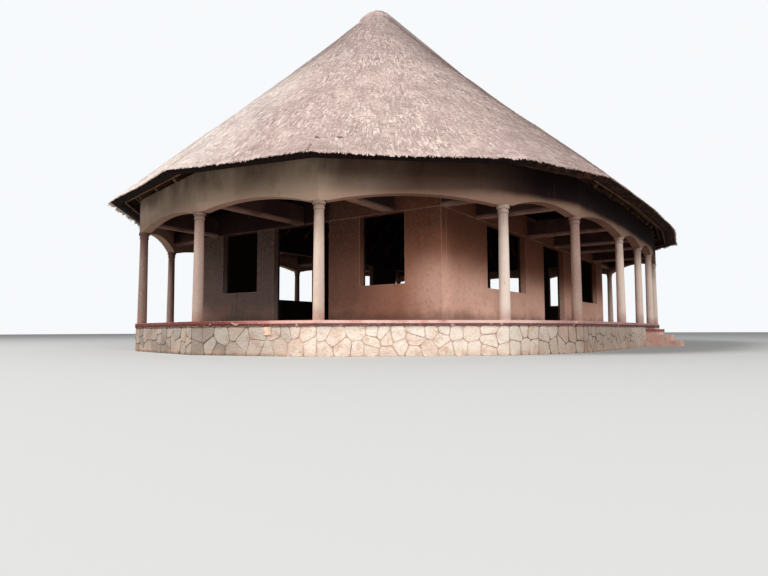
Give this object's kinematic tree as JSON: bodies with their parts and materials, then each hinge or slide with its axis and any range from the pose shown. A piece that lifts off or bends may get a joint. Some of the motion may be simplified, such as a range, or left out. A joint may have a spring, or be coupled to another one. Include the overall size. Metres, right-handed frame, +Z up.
{
  "type": "thatched oval rondavel hut",
  "caption": "Oval thatched hall on a stone plinth, with a columned verandah under a flat-arched ring beam and a plastered hall with open doors and windows.",
  "frame": {"origin": "on the ground below the middle of the hall", "axes": "+Z up, +Y along the ridge away from the near end, +X across the hall to the right flank"},
  "size_m": [14.52, 21.0419, 10.117],
  "materials": {
    "stone": "rough",
    "fill": "rough",
    "slab_red": "worn paint",
    "column_plaster": "stained plaster",
    "beam_plaster": "stained plaster",
    "wall_plaster": "painted plaster",
    "poles": "rough",
    "thatch": "rough",
    "thatch_cap": "rough"
  },
  "bodies": {
    "root": {"near_stone_plinth": "stone", "far_stone_plinth": "stone", "side_stone_plinths": "stone", "plinth_fill": "fill", "floor_slab": "slab_red", "right_steps": "slab_red", "left_steps": "slab_red", "near_columns": "column_plaster", "far_columns": "column_plaster", "right_columns": "column_plaster", "left_columns": "column_plaster", "near_ring_beam": "beam_plaster", "far_ring_beam": "beam_plaster", "right_ring_beam": "beam_plaster", "left_ring_beam": "beam_plaster", "near_tie_beams": "beam_plaster", "far_tie_beams": "beam_plaster", "right_tie_beams": "beam_plaster", "left_tie_beams": "beam_plaster", "near_wall_left": "wall_plaster", "near_wall_right": "wall_plaster", "far_wall_left": "wall_plaster", "far_wall_right": "wall_plaster", "right_wall_near": "wall_plaster", "right_wall_far": "wall_plaster", "left_wall_near": "wall_plaster", "left_wall_far": "wall_plaster", "near_lintel_beam": "wall_plaster", "far_lintel_beam": "wall_plaster", "right_lintel_beam": "wall_plaster", "left_lintel_beam": "wall_plaster", "end_wall_plates": "poles", "side_wall_plates": "poles", "hip_rafters": "poles", "common_rafters": "poles", "end_purlins": "poles", "side_purlins": "poles", "ridge_pole": "poles", "crown_hubs": "poles", "near_thatch": "thatch", "far_thatch": "thatch", "right_thatch": "thatch", "left_thatch": "thatch", "ridge_cap": "thatch_cap", "apex_caps": "thatch_cap"}
  },
  "joints": []
}
